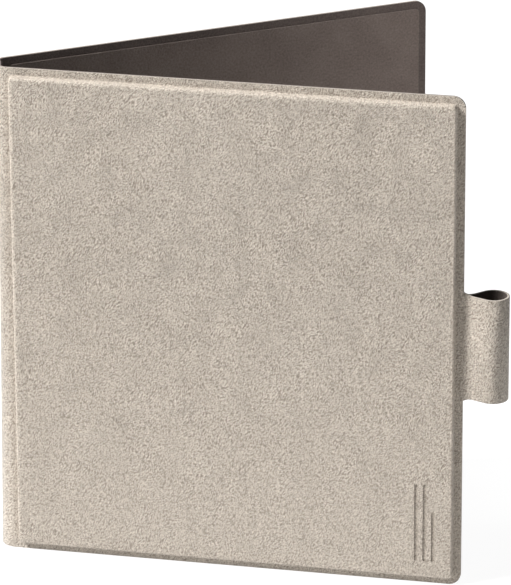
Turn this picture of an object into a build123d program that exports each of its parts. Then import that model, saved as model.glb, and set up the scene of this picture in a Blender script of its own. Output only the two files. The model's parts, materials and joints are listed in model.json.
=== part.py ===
from build123d import *
from math import cos, radians, sin
import os

# A pocket e-reader in its magnetic book-style folio case, standing on its lower edges with the case
# part open. Millimetres, +Z up. The origin is the middle of the whole object's box, at the floor.

# ---- Folio case ----
case_height = 161.0
panel_reach = 145.5  # from a fold line to the cover's free edge
fold_spacing = 7.8  # between the two fold lines, across the spine
opening_angle = 35.4  # between the two covers
skin_thickness = 0.7
lining_thickness = 0.5
board_thickness = 2.1
fold_gap = 0.9  # from a fold line to the cover's first edge
spine_rim = 3.4  # from a fold line to the raised panel
edge_rim = 2.5  # flat rim round the other three sides
case_corner = 3.8
panel_corner = 1.6
panel_bevel = 0.8

# ---- Pen loop on the back cover's free edge ----
loop_bottom = 63.0
loop_height = 34.0
loop_reach = 9.0  # from the free edge to the tube's centre
loop_inset = 1.6  # from the rim's middle towards the inside of the case
loop_radius = 4.9
strap_thickness = 0.8
neck_length = 1.8
tab_length = 7.5
tab_thickness = 0.4

# ---- Pressed mark: three plain lines near the lower free corner ----
mark_depth = 0.25
mark_line_width = 0.9
mark_pitch = 2.7
mark_lengths = (26.0, 26.0, 17.0)
mark_from_edge = 14.5
mark_from_floor = 8.0

# ---- Reader ----
reader_width = 136.0
reader_height = 155.0
reader_thickness = 6.1
reader_from_fold = 6.0
reader_gap = 0.1  # between the lining and the reader's back
reader_corner = 7.0
wall = 1.2
floor = 0.9
rear_shell_depth = 5.0
rear_rounding = 1.6
slip = 0.1  # clearance between parts that are dropped in

screen_width = 106.7  # a 7 inch 4:3 screen, upright
screen_height = 142.2
screen_border = 2.0
screen_from_spine_side = 7.0
screen_corner = 1.4
lens_overlap = 0.6
tape_inset = 1.0
bezel_rounding = 0.5

frame_bottom = 3.4
frame_thickness = 0.5
tape_thickness = 0.1
epaper_thickness = 0.9
guide_thickness = 0.4
film_thickness = 0.1
lens_thickness = 0.6
light_bar_inset = 6.0
light_bar_width = 0.55
light_bar_drop = 0.5
flex_width = 28.0
flex_thickness = 0.15
flex_room = 2.0
flex_end = -68.0

screw_radius = 0.7
screw_head_radius = 1.2
screw_head_height = 0.6
screw_slot_width = 0.3
screw_slot_length = 1.4
screw_length = 2.0
boss_radius = 1.8
screw_rows = (-60.0, 0.0, 60.0)

key_travel = 0.4
key_proud = 0.2
key_width = 8.0
key_length = 26.0
key_pitch = 34.0
key_centre = -58.0
key_corner = 2.0
key_clearance = 0.15
key_flange = 1.0
key_flange_corner = 2.5
key_rounding = 0.35
key_stem_radius = 1.5
key_board_bottom = 2.9
key_board_thickness = 0.4
key_board_left = -62.0
key_board_right = -53.0
key_board_length = 68.0
key_rib_width = 2.0
key_rib_length = 14.0
dome_radius = 2.5
dome_height = 0.3

power_centre = -55.5
power_height = 2.9
power_length = 9.0
power_width = 1.7
power_proud = 0.3
power_flange_thickness = 0.6
power_flange_side = 0.9
power_flange_edge = 0.8
switch_width = 4.4
switch_length = 2.4
switch_height = 2.4
switch_post = 0.6

board_bottom = 1.7
circuit_thickness = 0.8
circuit_left = -64.0
circuit_right = 20.0
circuit_bottom = -74.0
circuit_top = -36.0
board_corner = 1.0
pad_width = 3.0
processor_left = -34.0
processor_bottom = -60.0
processor_width = 12.0
processor_thickness = 0.5
shield_rim = 6.0  # from the processor's sides to the shield's
shield_sheet = 0.2
sensor_width = 1.6
sensor_length = 1.4
sensor_height = 0.7

usb_centre = -56.0
usb_height = 3.0  # of the port's middle above the reader's back
usb_width = 8.9
usb_depth = 7.3
usb_thickness = 3.2
usb_wall = 0.3
usb_room = 0.2
usb_back = 1.0
usb_tongue_width = 6.7
usb_tongue_thickness = 0.7

speaker_width = 22.0
speaker_length = 11.0
speaker_height = 2.4
speaker_left = {1: 20.0, -1: 28.0}
speaker_gap = 0.5
grille_pitch = 2.4
grille_holes = 7
grille_drop = 0.6
sound_hole_radius = 0.5
microphone_centre = -40.0
microphone_width = 3.5
microphone_length = 2.6

battery_left = -42.0
battery_right = 50.0
battery_bottom = -20.0
battery_top = 60.0
battery_corner = 2.0
lead_width = 8.0
lead_overlap = 4.0
lead_thickness = 0.2

skirt_thickness = 0.8
skirt_bottom = 4.0
skirt_notch = 12.0  # clear of the port and of the power key's flange
frame_past_panel = 5.0
frame_notch = 2.5

magnet_length = 20.0
magnet_width = 5.0
magnet_thickness = 1.5
magnet_rows = (-24.0, 24.0)
closing_magnet_radius = 2.5
closing_magnet_rows = (-50.0, 50.0)
closing_magnet_column = -57.0
reader_magnet_columns = (60.0, -60.0)
wake_sensor_place = (-10.0, -42.0)

# ---- Places worked out from the sizes above ----
flange = skin_thickness + lining_thickness
lining_face = -flange / 2
glue_line = lining_face + lining_thickness
board_face = glue_line + board_thickness
outer_face = board_face + skin_thickness
half_case = case_height / 2
half_opening = radians(opening_angle / 2)
opening = radians(opening_angle)

fold_to_left = fold_spacing * sin(half_opening) + flange / 2
fold_to_right = panel_reach + loop_reach + loop_radius
fold_to_near = loop_radius - loop_inset
fold_to_far = fold_spacing * cos(half_opening) + panel_reach * sin(opening) + flange / 2 * cos(opening)
back_fold_x = (fold_to_left - fold_to_right) / 2
back_fold_y = (fold_to_near - fold_to_far) / 2
front_fold_x = back_fold_x - fold_spacing * sin(half_opening)
front_fold_y = back_fold_y + fold_spacing * cos(half_opening)

# Each cover's plane has its origin on the fold line at mid height, X to the free edge and Z outwards.
back_plane = Plane(origin=(back_fold_x, back_fold_y, half_case), x_dir=(1, 0, 0), z_dir=(0, -1, 0))
front_plane = Plane(
    origin=(front_fold_x, front_fold_y, half_case),
    x_dir=(cos(opening), sin(opening), 0),
    z_dir=(-sin(opening), cos(opening), 0),
)
# The spine's plane lies on the floor: X from the back fold to the front fold, Y outwards.
spine_plane = Plane(
    origin=(back_fold_x, back_fold_y, 0),
    x_dir=(-sin(half_opening), cos(half_opening), 0),
    z_dir=(0, 0, 1),
)
# The reader's plane is its back face: Z out of the screen, Y up, X to the user's right.
half_width = reader_width / 2
half_height = reader_height / 2
reader_centre = reader_from_fold + half_width
reader_plane = Plane(
    origin=(back_fold_x + reader_centre, back_fold_y + flange / 2 + reader_gap, half_case),
    x_dir=(-1, 0, 0),
    z_dir=(0, 1, 0),
)

os.makedirs("parts", exist_ok=True)


def keep(part, name):
    """Labels a finished piece and writes it under its node name."""
    part.label = name
    export_step(part, f"parts/{name}.step")


def slab(plane, low, high, left, right, bottom, top, corner=0.0, mode=Mode.ADD):
    """A flat plate between two heights above a plane, with rounded corners if a radius is given."""
    with BuildSketch(plane.offset(low)) as outline:
        with Locations(((left + right) / 2, (bottom + top) / 2)):
            if corner:
                RectangleRounded(right - left, top - bottom, corner)
            else:
                Rectangle(right - left, top - bottom)
    return extrude(outline.sketch, amount=high - low, mode=mode)


def discs(plane, low, high, radius, centres, mode=Mode.ADD):
    """Round pegs or holes of one radius at several centres."""
    with BuildSketch(plane.offset(low)) as outline:
        with Locations(*centres):
            Circle(radius)
    return extrude(outline.sketch, amount=high - low, mode=mode)


# ================= Folio case =================


def cover_board(plane, magnet_pockets):
    """The stiff board inside a cover, with pockets for its magnets on the lining side."""
    inset = edge_rim + skin_thickness
    with BuildPart() as board:
        slab(
            plane,
            glue_line,
            board_face,
            spine_rim + skin_thickness,
            panel_reach - inset,
            -half_case + inset,
            half_case - inset,
            panel_corner,
        )
        magnet_pockets(slip, Mode.SUBTRACT)
    return board.part


def cover_skin(plane):
    """The leatherette over a cover: a flat rim with the raised panel that it takes from the board."""
    with BuildPart() as skin:
        slab(plane, glue_line, flange / 2, fold_gap, panel_reach, -half_case, half_case)
        free_corners = skin.edges().filter_by(Axis(plane.origin, plane.z_dir)).sort_by(
            Axis(plane.origin, plane.x_dir)
        )[-2:]
        fillet(free_corners, case_corner)
        slab(
            plane,
            glue_line,
            outer_face,
            spine_rim,
            panel_reach - edge_rim,
            -half_case + edge_rim,
            half_case - edge_rim,
            panel_corner,
        )
        raised_face = skin.faces().sort_by(Axis(plane.origin, plane.z_dir))[-1]
        fillet(raised_face.edges(), panel_bevel)
        inset = edge_rim + skin_thickness
        slab(
            plane,
            glue_line,
            board_face,
            spine_rim + skin_thickness,
            panel_reach - inset,
            -half_case + inset,
            half_case - inset,
            panel_corner,
            mode=Mode.SUBTRACT,
        )
    return skin.part


def cover_lining(plane):
    """The microfibre sheet glued over the inside of a cover."""
    with BuildPart() as lining:
        slab(plane, lining_face, glue_line, fold_gap, panel_reach, -half_case, half_case)
        free_corners = lining.edges().filter_by(Axis(plane.origin, plane.z_dir)).sort_by(
            Axis(plane.origin, plane.x_dir)
        )[-2:]
        fillet(free_corners, case_corner)
    return lining.part


def back_magnet_bars(clearance=0.0, mode=Mode.ADD):
    """Bar magnets in the back cover, opposite those in the reader."""
    for column in (reader_centre - reader_magnet_columns[0], reader_centre - reader_magnet_columns[1]):
        for row in magnet_rows:
            slab(
                back_plane,
                glue_line,
                glue_line + magnet_thickness + clearance,
                column - magnet_width / 2 - clearance,
                column + magnet_width / 2 + clearance,
                row - magnet_length / 2 - clearance,
                row + magnet_length / 2 + clearance,
                mode=mode,
            )


def front_magnet_discs(clearance=0.0, mode=Mode.ADD):
    """Disc magnets in the front cover: two that hold it shut and one for the reader's wake sensor."""
    closing = [(reader_centre - closing_magnet_column, row) for row in closing_magnet_rows]
    wake = (reader_centre - wake_sensor_place[0], -wake_sensor_place[1])
    discs(
        front_plane,
        glue_line,
        glue_line + magnet_thickness + clearance,
        closing_magnet_radius + clearance,
        closing + [wake],
        mode,
    )


# Pen loop: a strap wrapped into a tube, with its two ends pressed into one tab under the board.
loop_plane = Plane(origin=(back_fold_x + panel_reach, back_fold_y, loop_bottom))


def loop_outline(radius, neck_start, tip):
    """A drop shape: a circle drawn out to a narrow neck at the cover's edge."""
    with BuildSketch(loop_plane) as drop:
        with Locations((loop_reach, loop_inset)):
            Circle(radius)
        with Locations((neck_start, 0)):
            Circle(tip)
        make_hull()
    return drop.sketch


inner_radius = loop_radius - strap_thickness
neck_half = strap_thickness / 2
with BuildPart() as pen_loop:
    extrude(loop_outline(loop_radius, neck_length, neck_half), amount=loop_height)
    extrude(
        loop_outline(inner_radius, neck_length + strap_thickness, tab_thickness / 4),
        amount=loop_height,
        mode=Mode.SUBTRACT,
    )
    slab(loop_plane, 0, loop_height, 0, neck_length, -neck_half, neck_half)
    slab(loop_plane, 0, loop_height, -tab_length, 0, -glue_line - tab_thickness, -glue_line)
keep(pen_loop.part, "pen_loop")


def tab_pocket():
    """The step in the board and skin that the pen loop's tab fills."""
    slab(
        loop_plane,
        0,
        loop_height,
        -tab_length,
        0,
        -glue_line - tab_thickness,
        -glue_line,
        mode=Mode.SUBTRACT,
    )


with BuildPart() as back_board:
    add(cover_board(back_plane, back_magnet_bars))
    tab_pocket()
keep(back_board.part, "back_board")

with BuildPart() as back_skin:
    add(cover_skin(back_plane))
    tab_pocket()
    for line, length in enumerate(mark_lengths):
        line_left = panel_reach - mark_from_edge + line * mark_pitch
        slab(
            back_plane,
            outer_face - mark_depth,
            outer_face,
            line_left,
            line_left + mark_line_width,
            -half_case + mark_from_floor,
            -half_case + mark_from_floor + length,
            mark_line_width / 2 - slip / 2,
            mode=Mode.SUBTRACT,
        )
keep(back_skin.part, "back_skin")
keep(cover_lining(back_plane), "back_lining")

with BuildPart() as back_magnets:
    back_magnet_bars()
keep(back_magnets.part, "back_magnets")

keep(cover_board(front_plane, front_magnet_discs), "front_board")
keep(cover_skin(front_plane), "front_skin")
keep(cover_lining(front_plane), "front_lining")

with BuildPart() as front_magnets:
    front_magnet_discs()
keep(front_magnets.part, "front_magnets")


def spine_layer(inner, outer):
    """One layer of the soft spine, with ends rounded about the two fold lines."""
    with BuildSketch(spine_plane) as section:
        with Locations((fold_spacing / 2, 0)):
            SlotCenterToCenter(fold_spacing, flange)
        with Locations((fold_spacing / 2, (inner + outer) / 2)):
            Rectangle(fold_spacing + flange, outer - inner, mode=Mode.INTERSECT)
    with BuildPart() as layer:
        extrude(section.sketch, amount=case_height)
    return layer.part


keep(spine_layer(glue_line, flange / 2), "spine_skin")
keep(spine_layer(lining_face, glue_line), "spine_lining")

# ================= Reader =================

screen_right = half_width - screen_from_spine_side
panel_right = screen_right + screen_border
panel_left = screen_right - screen_width - screen_border
panel_top = screen_height / 2 + screen_border
lens_left = panel_left - lens_overlap
lens_right = panel_right + lens_overlap
lens_top = panel_top + lens_overlap
inner_half_width = half_width - wall
inner_half_height = half_height - wall

tape_bottom = frame_bottom + frame_thickness
epaper_bottom = tape_bottom + tape_thickness
guide_bottom = epaper_bottom + epaper_thickness
film_bottom = guide_bottom + guide_thickness
lens_bottom = film_bottom + film_thickness

screw_columns = (panel_right + screw_head_radius + slip * 2, panel_left - screw_head_radius - slip * 15)
screw_places = [(column, row) for column in screw_columns for row in screw_rows]

circuit_face = board_bottom + circuit_thickness


def edge_plane(end, across, height):
    """A plane on the reader's top (end 1) or bottom (end -1) wall that faces outwards."""
    return Plane(
        origin=reader_plane.from_local_coords((across, end * half_height, height)),
        x_dir=reader_plane.x_dir,
        z_dir=reader_plane.y_dir * end,
    )


def through_wall(plane, shape_maker):
    """Cuts a shape through one of the reader's end walls."""
    with BuildSketch(plane) as mouth:
        shape_maker()
    extrude(mouth.sketch, amount=wall, both=True, mode=Mode.SUBTRACT)


def bar(left, right, bottom, top, low, high, corner=0.0, mode=Mode.ADD):
    """A plate in the reader's own directions."""
    return slab(reader_plane, low, high, left, right, bottom, top, corner, mode)


with BuildPart() as rear_shell:
    bar(-half_width, half_width, -half_height, half_height, 0, rear_shell_depth, reader_corner)
    fillet(rear_shell.faces().sort_by(Axis.Y)[0].edges(), rear_rounding)
    bar(
        -inner_half_width,
        inner_half_width,
        -inner_half_height,
        inner_half_height,
        floor,
        rear_shell_depth,
        reader_corner - wall,
        Mode.SUBTRACT,
    )
    discs(reader_plane, floor, frame_bottom, boss_radius, screw_places)
    screw_foot = tape_bottom - screw_length
    discs(reader_plane, screw_foot, frame_bottom, screw_radius, screw_places, Mode.SUBTRACT)
    for side in (-1, 1):
        middle = side * key_pitch / 2
        bar(
            key_board_right - key_rib_width,
            key_board_right,
            middle - key_rib_length / 2,
            middle + key_rib_length / 2,
            floor,
            key_board_bottom,
        )
    for left in (circuit_left + pad_width, circuit_right - pad_width * 2):
        bar(
            left,
            left + pad_width,
            circuit_bottom + pad_width * 4,
            circuit_top - pad_width,
            floor,
            board_bottom,
        )
    switch_pad_top = half_height - wall - frame_notch + slip * 2
    bar(
        power_centre - pad_width,
        power_centre + pad_width,
        switch_pad_top - switch_length - pad_width / 2,
        switch_pad_top,
        floor,
        board_bottom,
    )
    through_wall(
        edge_plane(-1, usb_centre, usb_height),
        lambda: SlotOverall(usb_width + usb_room * 2, usb_thickness + usb_room * 2),
    )
    through_wall(edge_plane(-1, microphone_centre, power_height), lambda: Circle(sound_hole_radius))
    through_wall(
        edge_plane(1, power_centre, power_height),
        lambda: SlotOverall(power_length + key_clearance * 2, power_width + key_clearance * 2),
    )
    for end, left in speaker_left.items():
        with BuildSketch(edge_plane(end, left + speaker_width / 2, power_height - grille_drop)) as grille:
            with GridLocations(grille_pitch, 0, grille_holes, 1):
                Circle(sound_hole_radius)
        extrude(grille.sketch, amount=wall, both=True, mode=Mode.SUBTRACT)
keep(rear_shell.part, "rear_shell")

with BuildPart() as mid_frame:
    bar(
        panel_left - frame_past_panel,
        inner_half_width - slip,
        -inner_half_height + slip,
        inner_half_height - slip,
        frame_bottom,
        tape_bottom,
        reader_corner - wall - slip,
    )
    discs(reader_plane, frame_bottom, tape_bottom, screw_radius + slip, screw_places, Mode.SUBTRACT)
    bar(
        -flex_width / 2 - flex_room,
        flex_width / 2 + flex_room,
        -half_height,
        circuit_bottom + slip * 4,
        frame_bottom,
        tape_bottom,
        mode=Mode.SUBTRACT,
    )
    power_notch = (half_height - frame_notch, half_height)
    usb_notch = (-half_height, usb_depth + usb_room * 2.5 - half_height)
    for near_end, far_end in (power_notch, usb_notch):
        bar(
            -half_width,
            power_centre + skirt_notch / 2,
            near_end,
            far_end,
            frame_bottom,
            tape_bottom,
            mode=Mode.SUBTRACT,
        )
keep(mid_frame.part, "mid_frame")

skirt_inset = wall + slip
with BuildPart() as front_bezel:
    bar(
        -half_width,
        half_width,
        -half_height,
        half_height,
        rear_shell_depth,
        reader_thickness,
        reader_corner,
    )
    fillet(front_bezel.faces().sort_by(Axis.Y)[-1].edges(), bezel_rounding)
    for inset, mode in ((skirt_inset, Mode.ADD), (skirt_inset + skirt_thickness, Mode.SUBTRACT)):
        bar(
            -half_width + inset,
            half_width - inset,
            -half_height + inset,
            half_height - inset,
            skirt_bottom,
            rear_shell_depth,
            reader_corner - inset,
            mode,
        )
    bar(
        lens_left - slip,
        lens_right + slip,
        -lens_top - slip,
        lens_top + slip,
        rear_shell_depth,
        reader_thickness,
        screen_corner + slip,
        Mode.SUBTRACT,
    )
    for side in (-1, 1):
        middle = side * key_pitch / 2
        bar(
            key_centre - key_width / 2 - key_clearance,
            key_centre + key_width / 2 + key_clearance,
            middle - key_length / 2 - key_clearance,
            middle + key_length / 2 + key_clearance,
            rear_shell_depth,
            reader_thickness,
            key_corner + key_clearance,
            Mode.SUBTRACT,
        )
    for end, centre in ((-1, usb_centre), (1, power_centre)):
        skirt_edge = end * (half_height - skirt_inset - skirt_thickness / 2)
        bar(
            centre - skirt_notch / 2,
            centre + skirt_notch / 2,
            skirt_edge - skirt_thickness,
            skirt_edge + skirt_thickness,
            skirt_bottom,
            rear_shell_depth,
            mode=Mode.SUBTRACT,
        )
keep(front_bezel.part, "front_bezel")

screen_layers = (
    ("panel_tape", tape_bottom, tape_thickness, -tape_inset),
    ("epaper_panel", epaper_bottom, epaper_thickness, 0.0),
    ("light_guide", guide_bottom, guide_thickness, 0.0),
    ("touch_film", film_bottom, film_thickness, 0.0),
    ("front_lens", lens_bottom, lens_thickness, lens_overlap),
)
for name, bottom, thickness, overlap in screen_layers:
    with BuildPart() as layer:
        bar(
            panel_left - overlap,
            panel_right + overlap,
            -panel_top - overlap,
            panel_top + overlap,
            bottom,
            bottom + thickness,
            screen_corner,
        )
    keep(layer.part, name)

with BuildPart() as light_bar:
    bar(
        panel_left + light_bar_inset,
        panel_right - light_bar_inset,
        -panel_top - light_bar_width,
        -panel_top,
        guide_bottom - light_bar_drop,
        film_bottom,
    )
keep(light_bar.part, "light_bar")

# A flat cable from the panel's lower edge, folded round the end of the circuit board.
flex_half = flex_width / 2
flex_turn = circuit_bottom - 1.0 - flex_thickness
flex_top = epaper_bottom + 0.2 + flex_thickness
with BuildPart() as display_flex:
    bar(-flex_half, flex_half, flex_turn, -panel_top, flex_top - flex_thickness, flex_top)
    bar(-flex_half, flex_half, flex_turn, flex_turn + flex_thickness, circuit_face, flex_top)
    bar(-flex_half, flex_half, flex_turn, flex_end, circuit_face, circuit_face + flex_thickness)
keep(display_flex.part, "display_flex")

with BuildPart() as main_board:
    bar(circuit_left, circuit_right, circuit_bottom, circuit_top, board_bottom, circuit_face, board_corner)
    boss_place = (screw_columns[1], screw_rows[0])
    boss_hole = boss_radius + slip * 3
    discs(reader_plane, board_bottom, circuit_face, boss_hole, [boss_place], Mode.SUBTRACT)
    bar(
        usb_centre - usb_width / 2 - usb_room,
        usb_centre + usb_width / 2 + usb_room,
        circuit_bottom,
        -half_height + usb_depth + usb_room * 2,
        board_bottom,
        circuit_face,
        mode=Mode.SUBTRACT,
    )
keep(main_board.part, "main_board")

with BuildPart() as processor:
    processor_right = processor_left + processor_width
    processor_top = processor_bottom + processor_width
    bar(
        processor_left,
        processor_right,
        processor_bottom,
        processor_top,
        circuit_face,
        circuit_face + processor_thickness,
    )
keep(processor.part, "processor")

with BuildPart() as shield_can:
    for sheet, mode in ((0, Mode.ADD), (shield_sheet, Mode.SUBTRACT)):
        bar(
            processor_left - shield_rim + sheet,
            processor_right + shield_rim - sheet,
            processor_bottom - shield_rim + sheet,
            processor_top + shield_rim - sheet,
            circuit_face,
            frame_bottom - slip - sheet,
            mode=mode,
        )
keep(shield_can.part, "shield_can")

with BuildPart() as wake_sensor:
    across, up = wake_sensor_place
    bar(
        across - sensor_width / 2,
        across + sensor_width / 2,
        up - sensor_length / 2,
        up + sensor_length / 2,
        circuit_face,
        circuit_face + sensor_height,
    )
keep(wake_sensor.part, "wake_sensor")

with BuildPart() as microphone:
    bar(
        microphone_centre - microphone_width / 2,
        microphone_centre + microphone_width / 2,
        circuit_bottom,
        circuit_bottom + microphone_length,
        circuit_face,
        frame_bottom - slip,
    )
keep(microphone.part, "microphone")

with BuildPart() as usb_port:
    port_plane = edge_plane(-1, usb_centre, usb_height).offset(-usb_room)
    with BuildSketch(port_plane) as port_shell:
        SlotOverall(usb_width, usb_thickness)
    extrude(port_shell.sketch, amount=-usb_depth)
    with BuildSketch(port_plane) as port_mouth:
        SlotOverall(usb_width - usb_wall * 2, usb_thickness - usb_wall * 2)
    extrude(port_mouth.sketch, amount=usb_back - usb_depth, mode=Mode.SUBTRACT)
    with BuildSketch(port_plane.offset(-usb_room * 4)) as port_tongue:
        Rectangle(usb_tongue_width, usb_tongue_thickness)
    extrude(port_tongue.sketch, amount=usb_back * 1.5 - usb_depth)
keep(usb_port.part, "usb_port")

for end, left in speaker_left.items():
    outer_end = end * (inner_half_height - speaker_gap)
    inner_end = outer_end - end * speaker_length
    with BuildPart() as speaker:
        bar(
            left,
            left + speaker_width,
            min(outer_end, inner_end),
            max(outer_end, inner_end),
            floor,
            floor + speaker_height,
            board_corner,
        )
    keep(speaker.part, "speaker_top" if end > 0 else "speaker_bottom")

with BuildPart() as battery:
    bar(
        battery_left,
        battery_right,
        battery_bottom,
        battery_top,
        floor + slip,
        frame_bottom - slip,
        battery_corner,
    )
keep(battery.part, "battery")

with BuildPart() as battery_lead:
    lead_end = circuit_top - lead_overlap
    bar(0, lead_width, lead_end, battery_bottom, circuit_face, circuit_face + lead_thickness)
keep(battery_lead.part, "battery_lead")

with BuildPart() as reader_magnets:
    for column in reader_magnet_columns:
        for row in magnet_rows:
            bar(
                column - magnet_width / 2,
                column + magnet_width / 2,
                row - magnet_length / 2,
                row + magnet_length / 2,
                floor,
                floor + magnet_thickness,
            )
keep(reader_magnets.part, "reader_magnets")

with BuildPart() as closing_magnets:
    discs(
        reader_plane,
        rear_shell_depth - magnet_thickness,
        rear_shell_depth,
        closing_magnet_radius,
        [(closing_magnet_column, row) for row in closing_magnet_rows],
    )
keep(closing_magnets.part, "closing_magnets")

with BuildPart() as case_screws:
    discs(reader_plane, tape_bottom - screw_length, tape_bottom, screw_radius, screw_places)
    discs(reader_plane, tape_bottom, tape_bottom + screw_head_height, screw_head_radius, screw_places)
    for column, row in screw_places:
        for width, length in (
            (screw_slot_width, screw_slot_length),
            (screw_slot_length, screw_slot_width),
        ):
            bar(
                column - width / 2,
                column + width / 2,
                row - length / 2,
                row + length / 2,
                tape_bottom + screw_head_height / 2,
                tape_bottom + screw_head_height,
                mode=Mode.SUBTRACT,
            )
keep(case_screws.part, "case_screws")

# Page keys: a cap through the bezel, a flange that holds it in, and a stem over a snap dome.
key_board_face = key_board_bottom + key_board_thickness
key_rest = key_board_face + dome_height + key_travel + slip / 2
key_flange_bottom = key_rest + slip * 2.5
key_flange_top = rear_shell_depth - slip
dome_places = [(key_centre, -key_pitch / 2), (key_centre, key_pitch / 2)]

with BuildPart() as key_board:
    bar(
        key_board_left,
        key_board_right,
        -key_board_length / 2,
        key_board_length / 2,
        key_board_bottom,
        key_board_face,
        board_corner,
    )
keep(key_board.part, "key_board")

with BuildPart() as key_domes:
    discs(reader_plane, key_board_face, key_board_face + dome_height, dome_radius, dome_places)
    fillet(key_domes.edges().filter_by(GeomType.CIRCLE).group_by(Axis.Y)[-1], dome_height * 0.8)
keep(key_domes.part, "key_domes")

for name, side in (("page_up_key", 1), ("page_down_key", -1)):
    middle = side * key_pitch / 2
    with BuildPart() as page_key:
        bar(
            key_centre - key_width / 2,
            key_centre + key_width / 2,
            middle - key_length / 2,
            middle + key_length / 2,
            key_flange_bottom,
            reader_thickness + key_proud,
            key_corner,
        )
        fillet(page_key.faces().sort_by(Axis.Y)[-1].edges(), key_rounding)
        bar(
            key_centre - key_width / 2 - key_flange,
            key_centre + key_width / 2 + key_flange,
            middle - key_length / 2 - key_flange,
            middle + key_length / 2 + key_flange,
            key_flange_bottom,
            key_flange_top,
            key_flange_corner,
        )
        discs(reader_plane, key_rest, key_flange_bottom, key_stem_radius, [(key_centre, middle)])
    keep(page_key.part, name)

# Power key in the top wall, over a small switch that stands on the shell's floor.
power_plane = edge_plane(1, power_centre, power_height)
power_flange_top = -wall - slip / 2
power_flange_bottom = power_flange_top - power_flange_thickness
with BuildPart() as power_key:
    with BuildSketch(power_plane.offset(power_flange_bottom)) as cap:
        SlotOverall(power_length, power_width)
    extrude(cap.sketch, amount=power_proud - power_flange_bottom)
    with BuildSketch(power_plane.offset(power_flange_bottom)) as rim:
        RectangleRounded(
            power_length + power_flange_side * 2,
            power_width + power_flange_edge * 2,
            power_flange_edge,
        )
    extrude(rim.sketch, amount=power_flange_top - power_flange_bottom)
keep(power_key.part, "power_key")

with BuildPart() as power_switch:
    post_top = half_height + power_flange_bottom - key_travel - slip
    switch_top = post_top - switch_post
    bar(
        power_centre - switch_width / 2,
        power_centre + switch_width / 2,
        switch_top - switch_length,
        switch_top,
        board_bottom,
        board_bottom + switch_height,
    )
    with BuildSketch(power_plane.offset(switch_top - half_height)) as post:
        Rectangle(switch_post * 3, switch_post * 1.5)
    extrude(post.sketch, amount=switch_post)
keep(power_switch.part, "power_switch")
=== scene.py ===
import json
from math import acos, atan2, copysign, cos, pi, radians, sin, tan

import bmesh
import bpy
from mathutils import Matrix, Vector


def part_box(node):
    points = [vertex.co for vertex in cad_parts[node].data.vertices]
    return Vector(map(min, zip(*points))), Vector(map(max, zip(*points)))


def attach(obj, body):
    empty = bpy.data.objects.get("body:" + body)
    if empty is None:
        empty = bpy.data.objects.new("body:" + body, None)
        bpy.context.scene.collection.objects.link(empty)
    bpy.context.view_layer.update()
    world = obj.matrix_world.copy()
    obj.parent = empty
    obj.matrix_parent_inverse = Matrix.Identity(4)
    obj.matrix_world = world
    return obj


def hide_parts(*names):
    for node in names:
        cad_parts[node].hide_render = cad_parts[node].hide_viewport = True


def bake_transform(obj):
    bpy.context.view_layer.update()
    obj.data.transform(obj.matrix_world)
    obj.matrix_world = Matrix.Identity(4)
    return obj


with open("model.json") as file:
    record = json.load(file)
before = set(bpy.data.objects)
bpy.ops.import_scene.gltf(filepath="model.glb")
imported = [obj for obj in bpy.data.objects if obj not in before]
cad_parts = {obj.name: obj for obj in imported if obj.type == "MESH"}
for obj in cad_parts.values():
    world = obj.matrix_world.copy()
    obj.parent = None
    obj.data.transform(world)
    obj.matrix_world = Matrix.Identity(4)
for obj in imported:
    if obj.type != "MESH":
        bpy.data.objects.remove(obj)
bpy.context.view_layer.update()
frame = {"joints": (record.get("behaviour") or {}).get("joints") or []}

# ---------------------------------------------------------------------------------------------
# Leatherette skin. One sheet of embossed polyurethane leather covers both boards and the spine.
# It is pressed down round the boards, so each cover has a raised panel with soft edges, and it is
# cut flush with the lining. The back cover carries a pressed mark of three plain lines.
# ---------------------------------------------------------------------------------------------
MM = 0.001
hinges = {joint["name"]: joint for joint in frame["joints"] if joint["type"] == "hinge"}
back_fold = Vector(hinges["back_fold"]["pos_m"]) * Vector((1, 1, 0))
front_fold = Vector(hinges["front_fold"]["pos_m"]) * Vector((1, 1, 0))
spine_across = front_fold - back_fold
half_opening = atan2(-spine_across.x, spine_across.y)
opening = 2 * half_opening

skin_low, skin_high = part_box("back_skin")
cover_height = skin_high.z
cover_reach = skin_high.x - back_fold.x
flange_half = 0.6 * MM
skin_thick = 0.7 * MM
panel_rise = back_fold.y - skin_low.y - flange_half
rim_width = 2.5 * MM
spine_rim = 3.4 * MM
case_corner = 3.8 * MM
panel_corner = 1.6 * MM

fold_radius = 2.8 * MM
fold_turn = pi / 2 - half_opening
fold_start = fold_radius * tan(fold_turn / 2)
spine_flat = spine_across.length / 2 - fold_start
blank_start = fold_start - fold_radius * fold_turn - spine_flat
fold_cuts = 18
# The soft spine draws in by 0.5 mm at its head and bows out by 1.7 mm at its foot.
spine_bow = (-0.5 * MM, 1.7 * MM)
bow_curve = 1.3
# Points this close together count as one place when a mesh is cut.
same_place = 1e-7
spine_out = Vector((-cos(half_opening), -sin(half_opening), 0))

# Each cover's own directions: from its fold to its free edge, and out of the case.
covers = {
    "back": (back_fold, Vector((1, 0, 0)), Vector((0, -1, 0))),
    "front": (
        front_fold,
        Vector((cos(opening), sin(opening), 0)),
        Vector((-sin(opening), cos(opening), 0)),
    ),
}


def linear(hex_colour):
    """An sRGB hex colour as the linear colour that shaders take."""
    channels = [int(hex_colour[i:i + 2], 16) / 255 for i in (1, 3, 5)]
    curve = [c / 12.92 if c <= 0.04045 else ((c + 0.055) / 1.055) ** 2.4 for c in channels]
    return (*curve, 1.0)


def node(tree, kind, inputs=None, **settings):
    """Adds a shader node: settings go on the node, inputs are values or other nodes' outputs."""
    made = tree.nodes.new(kind)
    for name, value in settings.items():
        setattr(made, name, value)
    for name, value in (inputs or {}).items():
        if isinstance(value, bpy.types.NodeSocket):
            tree.links.new(value, made.inputs[name])
        else:
            made.inputs[name].default_value = value
    return made


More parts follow.
